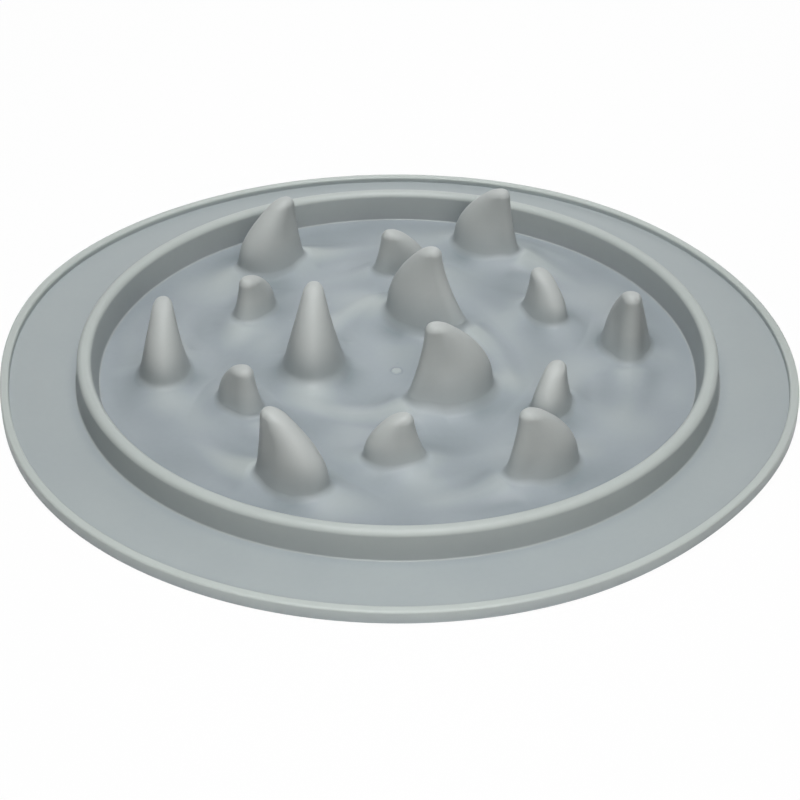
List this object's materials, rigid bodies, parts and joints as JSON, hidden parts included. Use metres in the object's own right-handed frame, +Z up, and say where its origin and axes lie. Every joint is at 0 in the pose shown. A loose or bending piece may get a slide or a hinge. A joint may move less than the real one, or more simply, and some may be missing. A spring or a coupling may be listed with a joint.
{
  "type": "slow feeder mat",
  "caption": "Round silicone feeding mat with a walled dish, a flat beaded apron and rings of swept-back fins that slow a pet's eating.",
  "frame": {"origin": "middle of the flat underside, on the surface that the mat lies on", "axes": "+Z up out of the dish; +X to the right and +Y away from the viewer as the mat lies in the picture"},
  "size_m": [0.3, 0.3, 0.0372],
  "materials": {
    "mat_silicone": "satin",
    "fin_silicone": "satin"
  },
  "bodies": {
    "root": {"apron": "mat_silicone", "edge_bead": "mat_silicone", "dish_wall": "mat_silicone", "dish_floor": "mat_silicone", "outer_fin_1": "fin_silicone", "outer_fin_2": "fin_silicone", "outer_fin_3": "fin_silicone", "outer_fin_4": "fin_silicone", "outer_fin_5": "fin_silicone", "outer_fin_6": "fin_silicone", "middle_fin_1": "fin_silicone", "middle_fin_2": "fin_silicone", "middle_fin_3": "fin_silicone", "middle_fin_4": "fin_silicone", "middle_fin_5": "fin_silicone", "middle_fin_6": "fin_silicone", "inner_fin_1": "fin_silicone", "inner_fin_2": "fin_silicone", "inner_fin_3": "fin_silicone"}
  },
  "joints": []
}
